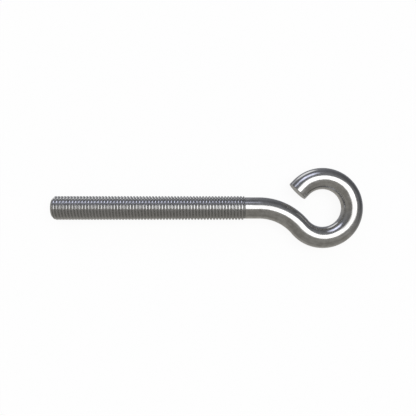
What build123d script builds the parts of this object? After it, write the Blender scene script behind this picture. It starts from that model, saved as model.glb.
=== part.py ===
from build123d import *

import os
from math import asin, degrees, radians, sqrt, tan

# Eye bolt: one round steel bar, threaded at one end and bent at the other into an open eye.
# It lies flat. The shank runs along X, with the end of the thread at -X and the eye at +X.
# The eye lies in the XY plane, its mouth faces -X and +Y, and +Z is up.
# The origin is the middle of the eye. Lengths are in millimetres and angles in degrees.
# The bar is one piece. It is made in four stretches that meet face to face, from the thread's
# end to the eye: threaded_shank, plain_shank, neck and eye.

# Thread: 3/4-10 UNC, rolled on a bar of about the thread's pitch diameter. Its profile is turned
# as rings, one to a pitch, at the thread's true sizes: 17/24 of the sharp height deep, with roots
# a sixth of the pitch wide, which leaves crests an eighth of it wide.
major_r = 19.05 / 2
pitch = 2.54
thread_length = 155.8
end_chamfer = 2.25
flank_angle = 30
sharp_height = pitch * sqrt(3) / 2
thread_depth = 17 / 24 * sharp_height
root_r = major_r - thread_depth
root_width = pitch / 6
flank_width = thread_depth * tan(radians(flank_angle))

# Bar
bar_r = 17.2 / 2
plain_length = 11.4

# Eye: the bar bent round a hole, with a short straight tail past the end of the bend
eye_hole_r = 30.5 / 2
eye_r = eye_hole_r + bar_r
tail_angle = 134.8
tail_length = 5.3
tail_chamfer = 0.5

# Neck: an arc that leaves the shank's line and meets the eye's circle, tangent to both
neck_r = 43.3
neck_turn = 90 - degrees(asin(neck_r / (neck_r + eye_r)))
neck_start_x = -sqrt((neck_r + eye_r) ** 2 - neck_r**2)
eye_start_angle = 180 + 90 - neck_turn

thread_end_x = neck_start_x - plain_length
shank_end_x = thread_end_x - thread_length


def groove_outline(crest_x):
    """One groove, from the end of one crest at this station to the start of the next crest."""
    root_x = crest_x + flank_width
    corners = [
        (crest_x, major_r),
        (root_x, root_r),
        (root_x + root_width, root_r),
        (root_x + root_width + flank_width, major_r),
    ]
    Polyline(*corners, close=True)


# Thread: the major cylinder, chamfered at the bolt's end, with a groove in every pitch
groove_count = int((thread_length - end_chamfer) / pitch)
first_groove_x = thread_end_x - groove_count * pitch
with BuildPart() as threaded_shank:
    with BuildSketch(Plane.YZ.offset(shank_end_x)):
        Circle(major_r)
    extrude(amount=thread_length)
    chamfer(threaded_shank.edges().sort_by(Axis.X)[0], end_chamfer)
    for i in range(groove_count):
        with BuildSketch(Plane.XY):
            with BuildLine():
                groove_outline(first_groove_x + i * pitch)
            make_face()
    revolve(axis=Axis.X, mode=Mode.SUBTRACT)

# Plain stretch of the shank, between the thread and the bend
with BuildPart() as plain_shank:
    with BuildSketch(Plane.YZ.offset(thread_end_x)):
        Circle(bar_r)
    extrude(amount=plain_length)

# Neck: the bend that carries the bar off the shank's line, so that the eye sits on that line
with BuildPart() as neck:
    with BuildLine() as neck_line:
        CenterArc((neck_start_x, -neck_r), neck_r, 90, -neck_turn)
    with BuildSketch(Plane.YZ.offset(neck_start_x)):
        Circle(bar_r)
    sweep(path=neck_line.line)

# Eye: the bar carried round and stopped short of the neck, which leaves the mouth open
with BuildPart() as eye:
    with BuildLine() as eye_line:
        bend = CenterArc((0, 0), eye_r, eye_start_angle, tail_angle + 360 - eye_start_angle)
        Line(bend @ 1, bend @ 1 + (bend % 1) * tail_length)
    with BuildSketch(Plane(origin=bend @ 0, z_dir=bend % 0)):
        Circle(bar_r)
    sweep(path=eye_line.line)
    tail_end = eye.faces().filter_by(GeomType.PLANE).sort_by(Axis.Y)[-1]
    chamfer(tail_end.edges(), tail_chamfer)

threaded_shank.part.label = "threaded_shank"
plain_shank.part.label = "plain_shank"
neck.part.label = "neck"
eye.part.label = "eye"

os.makedirs("parts", exist_ok=True)
export_step(threaded_shank.part, "parts/threaded_shank.step")
export_step(plain_shank.part, "parts/plain_shank.step")
export_step(neck.part, "parts/neck.step")
export_step(eye.part, "parts/eye.step")
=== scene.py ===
from math import asin, ceil, cos, pi, radians, sin, tan

import bmesh
import bpy
import numpy as np
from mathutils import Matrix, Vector


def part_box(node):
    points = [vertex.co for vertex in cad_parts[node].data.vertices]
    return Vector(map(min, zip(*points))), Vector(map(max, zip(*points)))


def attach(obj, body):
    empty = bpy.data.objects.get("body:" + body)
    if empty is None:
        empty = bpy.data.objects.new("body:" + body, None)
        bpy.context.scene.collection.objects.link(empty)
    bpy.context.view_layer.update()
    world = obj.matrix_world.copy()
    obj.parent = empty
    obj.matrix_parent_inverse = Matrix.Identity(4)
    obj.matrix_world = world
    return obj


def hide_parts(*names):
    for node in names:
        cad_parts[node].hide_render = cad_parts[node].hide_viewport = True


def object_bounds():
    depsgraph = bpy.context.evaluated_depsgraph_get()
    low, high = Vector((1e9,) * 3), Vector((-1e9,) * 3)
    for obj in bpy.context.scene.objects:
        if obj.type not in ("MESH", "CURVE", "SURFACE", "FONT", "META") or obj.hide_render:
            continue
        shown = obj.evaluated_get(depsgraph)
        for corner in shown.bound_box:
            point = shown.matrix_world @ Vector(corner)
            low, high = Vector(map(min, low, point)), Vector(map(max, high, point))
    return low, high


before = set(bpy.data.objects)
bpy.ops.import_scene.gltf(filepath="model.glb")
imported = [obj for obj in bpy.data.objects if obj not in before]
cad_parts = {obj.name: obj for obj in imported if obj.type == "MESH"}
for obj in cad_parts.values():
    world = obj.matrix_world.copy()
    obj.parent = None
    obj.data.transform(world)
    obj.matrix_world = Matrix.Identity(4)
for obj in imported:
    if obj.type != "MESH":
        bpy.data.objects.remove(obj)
cad_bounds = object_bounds()

# ---------------------------------------------------------------- sizes, in metres
THREAD, PLAIN, NECK, EYE = "threaded_shank", "plain_shank", "neck", "eye"
thread_low, thread_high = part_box(THREAD)
plain_low, plain_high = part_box(PLAIN)
eye_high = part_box(EYE)[1]

# Thread: a right-hand helix with broad crests and narrow roots between 60 degree flanks
PITCH = 0.00254
MAJOR_R = (thread_high[2] - thread_low[2]) / 2
CREST_HALF = 0.2 * PITCH
ROOT_HALF = PITCH / 32
FLANK_SLOPE = tan(radians(30))
ROOT_R = MAJOR_R - (PITCH / 2 - CREST_HALF - ROOT_HALF) / FLANK_SLOPE
EDGE_SOFTNESS = 0.00003
SHANK_END_X, THREAD_END_X = thread_low[0], thread_high[0]
END_CHAMFER = 0.00225
# The thread ends in a narrow relief: a flank down to the root, then a step up to the bar
RELIEF_STEP = 0.0002
RELIEF_X = THREAD_END_X - RELIEF_STEP - (MAJOR_R - ROOT_R) * FLANK_SLOPE

# Bar, neck and eye. The neck's arc touches the shank's line and the eye's circle, so its radius
# follows from where it leaves the shank.
BAR_R = (plain_high[2] - plain_low[2]) / 2
NECK_START_X = plain_high[0]
EYE_R = eye_high[0] - BAR_R
NECK_R = (NECK_START_X**2 - EYE_R**2) / (2 * EYE_R)
NECK_TURN = pi / 2 - asin(NECK_R / (NECK_R + EYE_R))
EYE_START = pi + pi / 2 - NECK_TURN
TAIL_ANGLE = radians(134.8)
EYE_TURN = 2 * pi + TAIL_ANGLE - EYE_START
TAIL_LENGTH = 0.0053
TAIL_ROUND = 0.0005

# Fineness of the meshes
SIDES = 96
ROW_STEP = 0.0008
RELIEF_ROWS = 12
ROUND_ROWS = 5
SAME_PLACE = 1e-8
WELD_DISTANCE = 1e-7
SHARP_ANGLE = radians(38)
STEEPEST_LEAN = radians(80)


# ---------------------------------------------------------------- node helpers
def link(tree, source, target):
    tree.links.new(source, target)


def new_material(name):
    """A material with an empty node tree, and the socket that its surface goes into."""
    material = bpy.data.materials.new(name)
    material.use_nodes = True
    tree = material.node_tree
    tree.nodes.clear()
    output = tree.nodes.new("ShaderNodeOutputMaterial")
    return material, tree, output.inputs["Surface"]


def new_metal(name):
    material, tree, surface = new_material(name)
    shader = tree.nodes.new("ShaderNodeBsdfPrincipled")
    shader.inputs["Metallic"].default_value = 1.0
    link(tree, shader.outputs["BSDF"], surface)
    return material, tree, shader


def attribute(tree, name, output):
    node = tree.nodes.new("ShaderNodeAttribute")
    node.attribute_name = name
    return node.outputs[output]


def stretched(tree, vector, scale):
    node = tree.nodes.new("ShaderNodeMapping")
    node.inputs["Scale"].default_value = scale
    link(tree, vector, node.inputs["Vector"])
    return node.outputs["Vector"]


def noise(tree, vector, scale=1.0, detail=3.0):
    node = tree.nodes.new("ShaderNodeTexNoise")
    node.inputs["Scale"].default_value = scale
    node.inputs["Detail"].default_value = detail
    node.inputs["Roughness"].default_value = 0.55
    link(tree, vector, node.inputs["Vector"])
    return node.outputs["Fac"]


def ramp(tree, share, stops):
    """A colour for each value of share, from stops of a position and a colour."""
    node = tree.nodes.new("ShaderNodeValToRGB")
    elements = node.color_ramp.elements
    while len(elements) < len(stops):
        elements.new(0.5)
    for element, (position, colour) in zip(elements, stops):
        element.position = position
        element.color = (*colour, 1.0)
    link(tree, share, node.inputs["Fac"])
    return node.outputs["Color"]


def span(tree, value, low, high, from_low=0.3, from_high=0.7):
    """Maps from_low to low and from_high to high. A noise mostly lies between 0.3 and 0.7."""
    node = tree.nodes.new("ShaderNodeMapRange")
    node.inputs["From Min"].default_value = from_low
    node.inputs["From Max"].default_value = from_high
    node.inputs["To Min"].default_value = low
    node.inputs["To Max"].default_value = high
    link(tree, value, node.inputs["Value"])
    return node.outputs["Result"]


def calculated(tree, operation, first, second=0.0):
    """One step of arithmetic on two numbers or sockets."""
    node = tree.nodes.new("ShaderNodeMath")
    node.operation = operation
    for value, socket in zip((first, second), node.inputs):
        if isinstance(value, (int, float)):
            socket.default_value = value
        else:
            link(tree, value, socket)
    return node.outputs["Value"]


def bump(tree, height, strength, distance, normal=None):
    node = tree.nodes.new("ShaderNodeBump")
    node.inputs["Strength"].default_value = strength
    node.inputs["Distance"].default_value = distance
    link(tree, height, node.inputs["Height"])
    if normal is not None:
        link(tree, normal, node.inputs["Normal"])
    return node.outputs["Normal"]


# ---------------------------------------------------------------- materials
# The scales of their textures are in repeats to a metre. The attribute bar_space is the distance
# along the bar, then the place across it, so lines follow the bar round its bends.
def drawn_steel():
    """Bright drawn bar: fine lines and faint streaks along the bar, over a little mottling."""
    material, tree, shader = new_metal("drawn_steel")
    along = attribute(tree, "bar_space", "Vector")
    lines = noise(tree, stretched(tree, along, (60, 1700, 1700)), detail=4.0)
    streaks = noise(tree, stretched(tree, along, (45, 420, 420)))
    mottle = noise(tree, along, scale=260.0, detail=4.0)
    tone = calculated(tree, "ADD", streaks, span(tree, mottle, -0.15, 0.15))
    dark, light = (0.46, 0.455, 0.445), (0.64, 0.64, 0.635)
    link(tree, ramp(tree, tone, [(0.35, dark), (0.65, light)]), shader.inputs["Base Color"])
    link(tree, span(tree, lines, 0.12, 0.2), shader.inputs["Roughness"])
    fine = bump(tree, lines, strength=0.10, distance=0.00004)
    coarse = bump(tree, streaks, strength=0.08, distance=0.0001, normal=fine)
    link(tree, coarse, shader.inputs["Normal"])
    return material


def rolled_steel():
    """Rolled thread: burnished crests, duller flanks and roots. The flanks and roots have a lighter
    base colour than the crests, as painted fill light that offsets the shade in the grooves.
    """
    material, tree, shader = new_metal("rolled_steel")
    along = attribute(tree, "bar_space", "Vector")
    depth = attribute(tree, "depth", "Fac")
    grain = noise(tree, stretched(tree, along, (300, 900, 900)))
    # Painted fill light: flanks and roots get a lighter base colour than the crests, to offset the
    # shade in the grooves
    root, flank, crest = (0.55, 0.55, 0.545), (0.58, 0.58, 0.575), (0.53, 0.53, 0.53)
    flank_top = 0.9
    stops = [(0.0, root), (flank_top, flank), (1.0, crest)]
    link(tree, ramp(tree, depth, stops), shader.inputs["Base Color"])
    mix = tree.nodes.new("ShaderNodeMix")
    link(tree, span(tree, depth, 0.0, 1.0, flank_top, 1.0), mix.inputs["Factor"])
    link(tree, span(tree, grain, 0.26, 0.32), mix.inputs["A"])
    link(tree, span(tree, grain, 0.14, 0.20), mix.inputs["B"])
    link(tree, mix.outputs["Result"], shader.inputs["Roughness"])
    link(tree, bump(tree, grain, strength=0.06, distance=0.00003), shader.inputs["Normal"])
    return material


def cut_steel():
    """Cut end of the bar: matt, with close parallel marks across it."""
    material, tree, shader = new_metal("cut_steel")
    place = tree.nodes.new("ShaderNodeTexCoord").outputs["Object"]
    marks = noise(tree, stretched(tree, place, (700, 700, 6000)))
    dark, light = (0.56, 0.56, 0.555), (0.72, 0.72, 0.715)
    link(tree, ramp(tree, marks, [(0.3, dark), (0.7, light)]), shader.inputs["Base Color"])
    link(tree, span(tree, marks, 0.35, 0.5), shader.inputs["Roughness"])
    link(tree, bump(tree, marks, strength=0.3, distance=0.00005), shader.inputs["Normal"])
    return material


def floor_paper():
    """White paper lit from behind, which takes only a faint shading from the room."""
    material, tree, surface = new_material("floor_paper")
    diffuse = tree.nodes.new("ShaderNodeBsdfDiffuse")
    diffuse.inputs["Color"].default_value = (0.12, 0.12, 0.12, 1.0)
    glow = tree.nodes.new("ShaderNodeEmission")
    glow.inputs["Strength"].default_value = 0.92
    both = tree.nodes.new("ShaderNodeAddShader")
    link(tree, diffuse.outputs["BSDF"], both.inputs[0])
    link(tree, glow.outputs["Emission"], both.inputs[1])
    link(tree, both.outputs["Shader"], surface)
    return material


# ---------------------------------------------------------------- pieces
def store(mesh, name, kind, field, values):
    mesh.attributes.new(name, kind, "POINT").data.foreach_set(field, values)


def add_piece(name, node, mesh, materials):
    """Puts the mesh in the scene in place of its CAD node."""
    piece = bpy.data.objects.new(name, mesh)
    bpy.context.collection.objects.link(piece)
    for material in materials:
        mesh.materials.append(material)
    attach(piece, "root")
    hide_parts(node)


def thread_profile():
    """Stations over one pitch, measured from the middle of a crest, with the radius at each.

    Each corner is softened by two short steps.
    """
    half, root_edge = PITCH / 2, PITCH / 2 - ROOT_HALF
    soft = EDGE_SOFTNESS
    rise = soft / FLANK_SLOPE
    rows = [
        (0.0, MAJOR_R),
        (CREST_HALF - soft, MAJOR_R),
        (CREST_HALF, MAJOR_R - 0.3 * rise),
        (CREST_HALF + soft, MAJOR_R - rise),
        ((CREST_HALF + root_edge) / 2, (MAJOR_R + ROOT_R) / 2),
        (root_edge - soft, ROOT_R + rise),
        (root_edge, ROOT_R + 0.3 * rise),
        (root_edge + soft, ROOT_R),
        (half, ROOT_R),
    ]
    mirrored = [(PITCH - station, radius) for station, radius in reversed(rows[1:-1])]
    return rows + mirrored


def trimmed_radius(x, radius):
    """The thread's radius, cut by the chamfer at one end and by the relief at the other."""
    chamfer = MAJOR_R - END_CHAMFER + (x - SHANK_END_X)
    from_end = THREAD_END_X - x
    relief = ROOT_R + np.maximum(from_end - RELIEF_STEP, 0.0) / FLANK_SLOPE
    radius = np.minimum(np.minimum(radius, chamfer), relief)
    return BAR_R + (radius - BAR_R) * np.clip(from_end / RELIEF_STEP, 0.0, 1.0)


def thread_points():
    """Points of the thread, a column along the shank for each angle round it."""
    profile = thread_profile()
    turns = range(-1, ceil((THREAD_END_X - SHANK_END_X) / PITCH) + 2)
    stations = np.array([turn * PITCH + station for turn in turns for station, _ in profile])
    angles = np.linspace(0, 2 * pi, SIDES + 1)[:, None]
    advance = PITCH * angles / (2 * pi)
    x = np.clip(SHANK_END_X + stations + advance, SHANK_END_X, RELIEF_X)
    relief = np.linspace(RELIEF_X, THREAD_END_X, RELIEF_ROWS + 1)[1:]
    x = np.concatenate([x, np.tile(relief, (len(angles), 1))], axis=1)
    phases, heights = np.array(profile + [(PITCH, MAJOR_R)]).T
    radius = np.interp(np.mod(x - SHANK_END_X - advance, PITCH), phases, heights)
    radius = trimmed_radius(x, radius)
    return np.stack([x, radius * np.cos(angles), radius * np.sin(angles)], axis=-1)


def weld_and_cap(mesh):
    """Merges the rows that fell together, closes both ends and shades all but them smooth."""
    shape = bmesh.new()
    shape.from_mesh(mesh)
    bmesh.ops.remove_doubles(shape, verts=shape.verts, dist=WELD_DISTANCE)
    bmesh.ops.dissolve_degenerate(shape, edges=shape.edges, dist=WELD_DISTANCE)
    rims = [edge for edge in shape.edges if edge.is_boundary]
    caps = bmesh.ops.holes_fill(shape, edges=rims, sides=0)["faces"]
    bmesh.ops.recalc_face_normals(shape, faces=shape.faces)
    for face in shape.faces:
        face.smooth = True
    for face in caps:
        face.smooth = False
        face.material_index = 1
    shape.to_mesh(mesh)
    shape.free()
    mesh.set_sharp_from_angle(angle=SHARP_ANGLE)


def thread_piece(name, node, materials):
    """The threaded stretch. Its depth attribute is 0 at the roots and 1 on the crests."""
    points = thread_points()
    index = np.arange(points[..., 0].size).reshape(points.shape[:2])
    quads = np.stack([index[:-1, :-1], index[:-1, 1:], index[1:, 1:], index[1:, :-1]], axis=-1)
    mesh = bpy.data.meshes.new(node + "_visual")
    mesh.from_pydata(points.reshape(-1, 3).tolist(), [], quads.reshape(-1, 4).tolist())
    weld_and_cap(mesh)
    places = np.empty(len(mesh.vertices) * 3)
    mesh.vertices.foreach_get("co", places)
    radii = np.hypot(places[1::3], places[2::3])
    depth = (radii - ROOT_R) / (MAJOR_R - ROOT_R)
    store(mesh, "depth", "FLOAT", "value", depth.clip(0, 1))
    store(mesh, "bar_space", "FLOAT_VECTOR", "vector", places)
    add_piece(name, node, mesh, materials)


def arc_stations(centre, radius, start, turn):
    """Points and directions along an arc, travelled from the start angle through the turn."""
    rows = max(2, ceil(abs(turn) * radius / ROW_STEP)) + 1
    angles = start + np.linspace(0, turn, rows)
    points = np.stack([np.cos(angles), np.sin(angles), 0 * angles], axis=-1) * radius + centre
    way = 1.0 if turn > 0 else -1.0
    tangents = np.stack([-np.sin(angles), np.cos(angles), 0 * angles], axis=-1) * way
    return points, tangents


def line_stations(start, direction, length):
    rows = max(2, ceil(length / ROW_STEP)) + 1
    distances = np.linspace(0, length, rows)
    direction = np.array(direction, float)
    points = np.array(start, float) + distances[:, None] * direction
    return points, np.tile(direction, (rows, 1))


def joined(stretches):
    """The stretches end to end, with the station that two of them share kept once."""
    points = np.concatenate([stretch[0] for stretch in stretches])
    tangents = np.concatenate([stretch[1] for stretch in stretches])
    keep = np.r_[True, np.linalg.norm(np.diff(points, axis=0), axis=1) > SAME_PLACE]
    return points[keep], tangents[keep]


def with_round_end(points, tangents):
    """Adds the stations of the rounded rim. Leans turn the surface's normals along the bar."""
    last, way = points[-1], tangents[-1]
    share = np.linspace(0, 1, ROUND_ROWS + 1)
    rim = last - way * TAIL_ROUND * (1 - share)[:, None]
    keep = np.linalg.norm(points - last, axis=1) > TAIL_ROUND + SAME_PLACE
    points = np.concatenate([points[keep], rim])
    tangents = np.concatenate([tangents[keep], np.tile(way, (len(rim), 1))])
    radii = np.full(len(points), BAR_R)
    radii[-len(rim):] -= TAIL_ROUND * (1 - np.sqrt(1 - share**2))
    leans = np.zeros(len(points))
    leans[-len(rim):] = np.arcsin(share).clip(0, STEEPEST_LEAN)
    return points, tangents, radii, leans


def bar_piece(name, node, stretches, travelled, materials, round_end=False):
    """A stretch of round bar in the XY plane, closed at both ends. Returns how far it has travelled."""
    points, tangents = joined(stretches)
    radii, leans = np.full(len(points), BAR_R), np.zeros(len(points))
    if round_end:
        points, tangents, radii, leans = with_round_end(points, tangents)
    rows = len(points)
    angles = np.arange(SIDES) * 2 * pi / SIDES
    across, up = np.cos(angles)[None, :, None], np.sin(angles)[None, :, None]
    sideways = np.stack([-tangents[:, 1], tangents[:, 0], np.zeros(rows)], axis=-1)
    ring = across * sideways[:, None, :] + up * np.array([0.0, 0.0, 1.0])
    places = points[:, None, :] + radii[:, None, None] * ring
    lean = leans[:, None, None]
    normals = np.cos(lean) * ring + np.sin(lean) * tangents[:, None, :]

    index = np.arange(rows * SIDES).reshape(rows, SIDES)
    around = np.roll(index, -1, axis=1)
    walls = np.stack([around[:-1], around[1:], index[1:], index[:-1]], axis=-1).reshape(-1, 4)
    caps = [index[0][::-1].tolist(), index[-1].tolist()]
    mesh = bpy.data.meshes.new(node + "_visual")
    mesh.from_pydata(places.reshape(-1, 3).tolist(), [], walls.tolist() + caps)
    mesh.update()
    is_cap = np.arange(len(mesh.polygons)) >= len(walls)
    mesh.polygons.foreach_set("use_smooth", ~is_cap)
    mesh.polygons.foreach_set("material_index", is_cap.astype(np.int32))

    steps = np.linalg.norm(np.diff(points, axis=0), axis=1)
    length = travelled + np.r_[0, np.cumsum(steps)]
    along = np.empty((rows, SIDES, 3))
    along[..., 0] = length[:, None]
    along[..., 1] = BAR_R * np.cos(angles)
    along[..., 2] = BAR_R * np.sin(angles)
    store(mesh, "bar_space", "FLOAT_VECTOR", "vector", along.ravel())
    wall_normals = normals.reshape(-1, 3)[walls.ravel()]
    cap_normals = np.repeat([-tangents[0], tangents[-1]], SIDES, axis=0)
    mesh.normals_split_custom_set(np.concatenate([wall_normals, cap_normals]).tolist())
    add_piece(name, node, mesh, materials)
    return float(length[-1])


def add_bolt():
    bright, rolled, cut = drawn_steel(), rolled_steel(), cut_steel()
    thread_piece("rolled_thread", THREAD, [rolled, cut])
    plain = line_stations((THREAD_END_X, 0, 0), (1, 0, 0), NECK_START_X - THREAD_END_X)
    travelled = bar_piece("bright_shank", PLAIN, [plain], THREAD_END_X, [bright, cut])
    bend = arc_stations(np.array([NECK_START_X, -NECK_R, 0]), NECK_R, pi / 2, -NECK_TURN)
    travelled = bar_piece("bent_neck", NECK, [bend], travelled, [bright, cut])
    loop = arc_stations(np.zeros(3), EYE_R, EYE_START, EYE_TURN)
    tail = line_stations(loop[0][-1], loop[1][-1], TAIL_LENGTH)
    bar_piece("open_eye", EYE, [loop, tail], travelled, [bright, cut], round_end=True)


# ---------------------------------------------------------------- stage
# The camera looks straight down. Its lens and sensor are in millimetres.
CAMERA_PLACE = (-0.0927, 0, 0.4253)
LENS, SENSOR_WIDTH = 45.433, 36.0
FLOOR_SIZE = 12.0

# The room, as radiance by direction: warm walls that turn to cool ones, with a dark part and a
# lighter part below. FROM and TO are cosines of the angle to the direction of the change.
WARM_WALLS, COOL_WALLS = (0.30, 0.29, 0.27), (0.19, 0.195, 0.213)
COOL_WAY, COOL_FROM, COOL_TO = (0.34, 0.94, 0), -0.35, 0.45
DARK_WAY, DARK_FROM, DARK_TO, DARKEST = (0.87, 0.46, 0.17), 0.5, 0.9, 0.55
UP = (0, 0, 1)
LOW_FROM, LOW_TO, LOW_GAIN = -0.8, -0.1, 1.5
# Soft lamps: azimuth, elevation, half width and half height in degrees, radiance
LAMPS = [
    (107, 27, 22, 13, (1.40, 1.46, 1.82)),
    (106, -24, 20, 17, (1.1, 1.1, 1.1)),
    (25, 48, 60, 45, (0.1, 0.1, 0.1)),
]
# A lamp ends where its two offsets, as shares of its half width and half height, add up to 1 when
# raised to LAMP_POWER. It is full where they add up to LAMP_CORE or less.
LAMP_POWER, LAMP_CORE = 2.5, 0.15
# The window overhead, which makes the white band: axis, tangent from the zenith and blur of each edge
WINDOW_EDGES = [
    ((1, 0, 0), -0.11, 0.13),
    ((-1, 0, 0), -0.89, 0.06),
    ((0, 1, 0), -0.16, 0.06),
    ((0, -1, 0), -0.54, 0.05),
]
WINDOW_RADIANCE = (2.0, 2.0, 2.0)
# Rays lower than this count as this high, so that no tangent divides by zero
LEAST_HEIGHT = 0.05


def add_floor():
    """A glowing floor that the steel doesn't mirror, so that it shows only the room and itself."""
    bpy.ops.mesh.primitive_plane_add(size=FLOOR_SIZE, location=(0, 0, cad_bounds[0][2]))
    floor = bpy.context.object
    floor.name = "floor"
    floor.data.materials.append(floor_paper())
    floor.visible_glossy = False
    floor.visible_shadow = False


def towards(tree, ray, direction):
    """The ray's part along a direction."""
    node = tree.nodes.new("ShaderNodeVectorMath")
    node.operation = "DOT_PRODUCT"
    node.inputs[1].default_value = direction
    link(tree, ray, node.inputs[0])
    return node.outputs["Value"]


def scaled(tree, colour, factor):
    node = tree.nodes.new("ShaderNodeVectorMath")
    node.operation = "SCALE"
    if isinstance(colour, tuple):
        node.inputs[0].default_value = colour
    else:
        link(tree, colour, node.inputs[0])
    link(tree, factor, node.inputs["Scale"])
    return node.outputs["Vector"]


def summed(tree, first, second):
    node = tree.nodes.new("ShaderNodeVectorMath")
    node.operation = "ADD"
    link(tree, first, node.inputs[0])
    link(tree, second, node.inputs[1])
    return node.outputs["Vector"]


def soft_lamp(tree, ray, azimuth, elevation, wide, high):
    """1 in the middle of a soft-edged patch of the room, falling to 0 at its rim."""
    around, up = radians(azimuth), radians(elevation)
    middle = Vector((cos(up) * cos(around), cos(up) * sin(around), sin(up)))
    side = Vector((-sin(around), cos(around), 0))
    distance = 0.0
    for way, half in ((side, wide), (middle.cross(side), high)):
        offset = calculated(tree, "DIVIDE", towards(tree, ray, way), sin(radians(half)))
        offset = calculated(tree, "ABSOLUTE", offset)
        distance = calculated(tree, "ADD", calculated(tree, "POWER", offset, LAMP_POWER), distance)
    patch = span(tree, distance, 1.0, 0.0, LAMP_CORE, 1.0)
    facing = calculated(tree, "GREATER_THAN", towards(tree, ray, middle), 0.0)
    return calculated(tree, "MULTIPLY", patch, facing)


def soft_window(tree, ray):
    """1 inside the level rectangle overhead, 0 outside it."""
    inside = 1.0
    height = calculated(tree, "MAXIMUM", towards(tree, ray, UP), LEAST_HEIGHT)
    for axis, tangent, blur in WINDOW_EDGES:
        place = calculated(tree, "DIVIDE", towards(tree, ray, axis), height)
        past_edge = span(tree, place, 0.0, 1.0, tangent - blur, tangent + blur)
        inside = calculated(tree, "MULTIPLY", past_edge, inside)
    return inside


def room_light(tree, ray):
    """The radiance that the bolt reflects, for each direction."""
    cool = span(tree, towards(tree, ray, COOL_WAY), 0.0, 1.0, COOL_FROM, COOL_TO)
    walls = ramp(tree, cool, [(0.0, WARM_WALLS), (1.0, COOL_WALLS)])
    dark = span(tree, towards(tree, ray, DARK_WAY), 1.0, DARKEST, DARK_FROM, DARK_TO)
    low = span(tree, towards(tree, ray, UP), LOW_GAIN, 1.0, LOW_FROM, LOW_TO)
    light = scaled(tree, walls, calculated(tree, "MULTIPLY", dark, low))
    light = summed(tree, light, scaled(tree, WINDOW_RADIANCE, soft_window(tree, ray)))
    for azimuth, elevation, wide, high, radiance in LAMPS:
        lamp = soft_lamp(tree, ray, azimuth, elevation, wide, high)
        light = summed(tree, light, scaled(tree, radiance, lamp))
    return light


def add_world():
    """A dim grey studio with soft lamps, white where the camera sees it past the floor."""
    world = bpy.data.worlds.new("room")
    bpy.context.scene.world = world
    world.use_nodes = True
    tree = world.node_tree
    tree.nodes.clear()
    ray = tree.nodes.new("ShaderNodeTexCoord").outputs["Generated"]
    room = tree.nodes.new("ShaderNodeBackground")
    link(tree, room_light(tree, ray), room.inputs["Color"])
    white = tree.nodes.new("ShaderNodeBackground")
    white.inputs["Color"].default_value = (1, 1, 1, 1)
    path = tree.nodes.new("ShaderNodeLightPath")
    mix = tree.nodes.new("ShaderNodeMixShader")
    link(tree, path.outputs["Is Camera Ray"], mix.inputs["Fac"])
    link(tree, room.outputs["Background"], mix.inputs[1])
    link(tree, white.outputs["Background"], mix.inputs[2])
    output = tree.nodes.new("ShaderNodeOutputWorld")
    link(tree, mix.outputs["Shader"], output.inputs["Surface"])


def add_camera():
    data = bpy.data.cameras.new("camera")
    data.sensor_width = SENSOR_WIDTH
    data.lens = LENS
    data.clip_start = 0.01
    data.clip_end = 50.0
    camera = bpy.data.objects.new("camera", data)
    camera.location = CAMERA_PLACE
    bpy.context.collection.objects.link(camera)
    bpy.context.scene.camera = camera


add_bolt()
add_floor()
add_world()
add_camera()
bpy.context.scene.view_settings.view_transform = "Standard"
